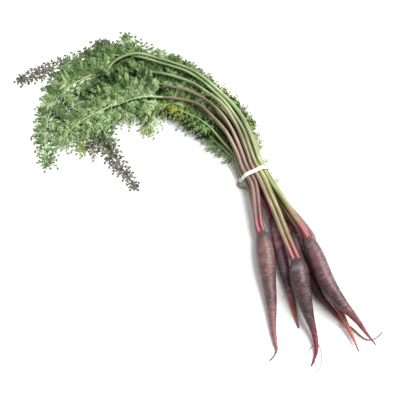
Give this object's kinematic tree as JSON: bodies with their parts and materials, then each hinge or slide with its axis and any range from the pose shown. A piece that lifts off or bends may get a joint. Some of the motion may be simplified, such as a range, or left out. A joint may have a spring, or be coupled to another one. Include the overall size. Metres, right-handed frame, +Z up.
{
  "type": "carrot bunch",
  "caption": "Bunch of purple carrots with long feathery green tops, tied round the stalks and lying on its side.",
  "frame": {"origin": "on the table, under the middle of the bunch's box", "axes": "+Z up from the table; the roots point towards -Y and the leaves towards +Y and -X"},
  "size_m": [0.4369, 0.4217, 0.0367],
  "materials": {
    "root_skin": "dull plum skin",
    "stalk": "pink to green, satin",
    "leaf": "matt green leaf",
    "tie": "white elastic"
  },
  "bodies": {
    "root": {"root_1": "root_skin", "root_2": "root_skin", "root_3": "root_skin", "root_4": "root_skin", "root_5": "root_skin", "root_6": "root_skin", "stalk_1a": "stalk", "stalk_1b": "stalk", "stalk_1c": "stalk", "stalk_2a": "stalk", "stalk_2b": "stalk", "stalk_2c": "stalk", "stalk_3a": "stalk", "stalk_3b": "stalk", "stalk_3c": "stalk", "stalk_4a": "stalk", "stalk_4b": "stalk", "stalk_5a": "stalk", "stalk_5b": "stalk", "stalk_5c": "stalk", "stalk_6a": "stalk", "stalk_6b": "stalk", "leaf_1a": "leaf", "leaf_1b": "leaf", "leaf_1c": "leaf", "leaf_2a": "leaf", "leaf_2b": "leaf", "leaf_2c": "leaf", "leaf_3a": "leaf", "leaf_3b": "leaf", "leaf_3c": "leaf", "leaf_4a": "leaf", "leaf_4b": "leaf", "leaf_5a": "leaf", "leaf_5b": "leaf", "leaf_5c": "leaf", "leaf_6a": "leaf", "leaf_6b": "leaf", "tie": "tie"}
  },
  "joints": []
}
